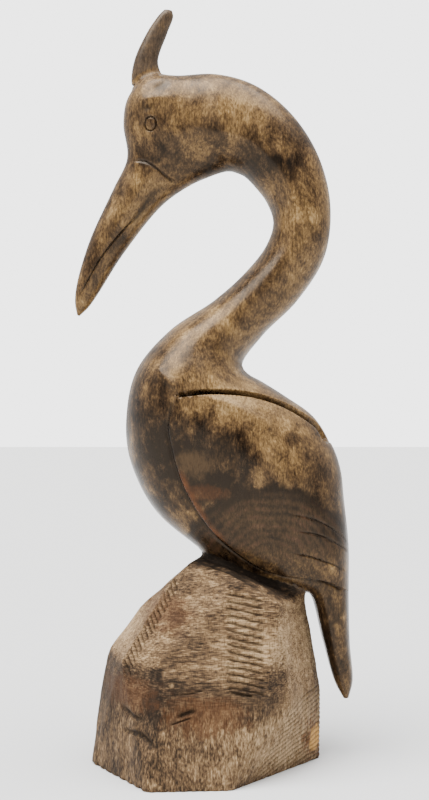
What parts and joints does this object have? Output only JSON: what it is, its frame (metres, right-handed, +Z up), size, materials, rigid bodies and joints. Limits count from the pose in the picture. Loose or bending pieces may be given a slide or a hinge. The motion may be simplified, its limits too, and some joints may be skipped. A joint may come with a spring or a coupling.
{
  "type": "wooden bird carving",
  "caption": "Carved wooden wading bird with a long bill, an arched neck and a tall crest, on the rough-sawn block that it was cut from.",
  "frame": {"origin": "middle of the block's flat underside, below the bird", "axes": "+Z up, -X the way the bird faces, +Y to its right side"},
  "size_m": [0.185, 0.152, 0.5],
  "materials": {
    "carved_wood": "polished on the bird, rough-sawn on the block"
  },
  "bodies": {
    "root": {"carved_bird_and_block": "carved_wood"}
  },
  "joints": []
}
